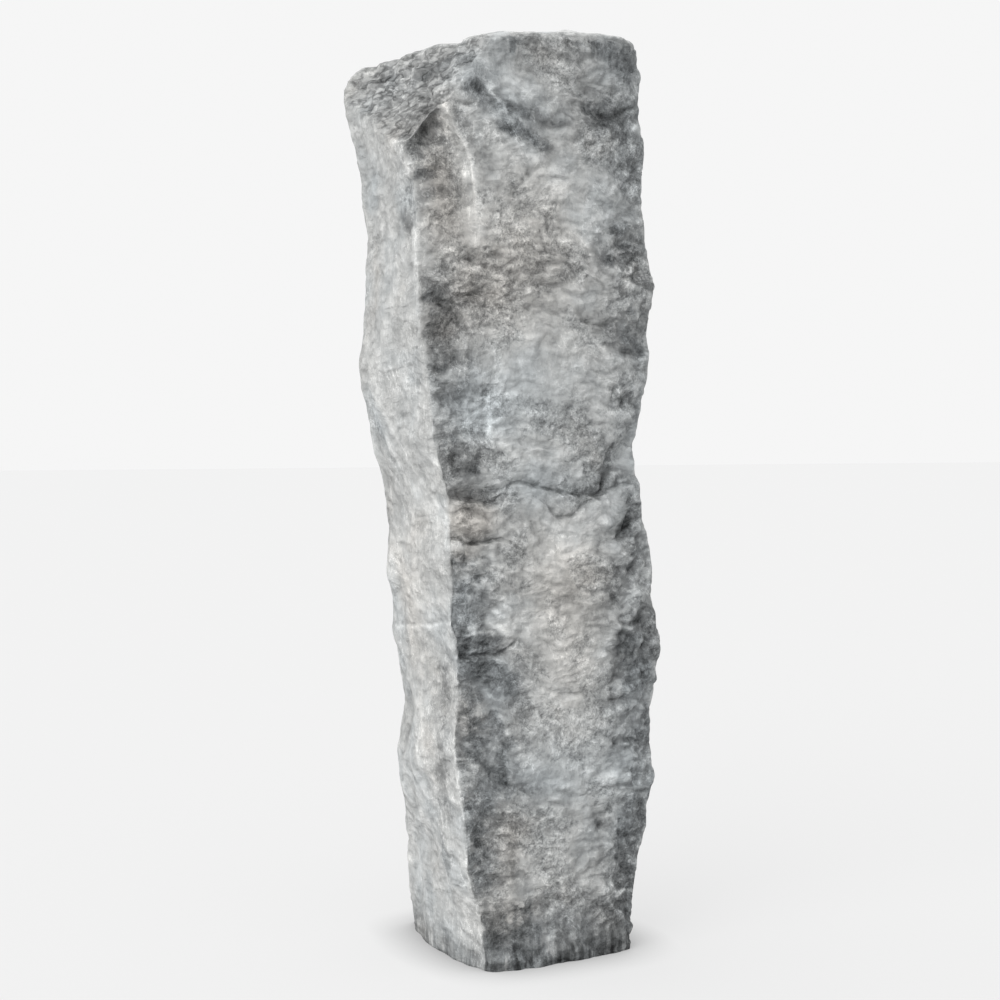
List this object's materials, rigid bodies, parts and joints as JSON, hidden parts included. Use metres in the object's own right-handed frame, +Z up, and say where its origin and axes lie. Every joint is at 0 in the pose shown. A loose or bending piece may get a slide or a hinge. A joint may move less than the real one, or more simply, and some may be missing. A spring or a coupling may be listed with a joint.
{
  "type": "standing stone",
  "caption": "Tall narrow standing stone of grey rock with a broken top corner, split front and flat foot, which stands upright on its own.",
  "frame": {"origin": "bottom centre of the bounding box, on the flat cut that the stone stands on", "axes": "+Z up the stone; -Y out of the broad front face; -X out of the narrow left face, with the broken corner between them at the top"},
  "size_m": [0.709, 0.4776, 2.204],
  "materials": {
    "stone": "rough, split grey rock with dark and warm patches and fine white veins"
  },
  "bodies": {
    "root": {"stone": "stone"}
  },
  "joints": []
}
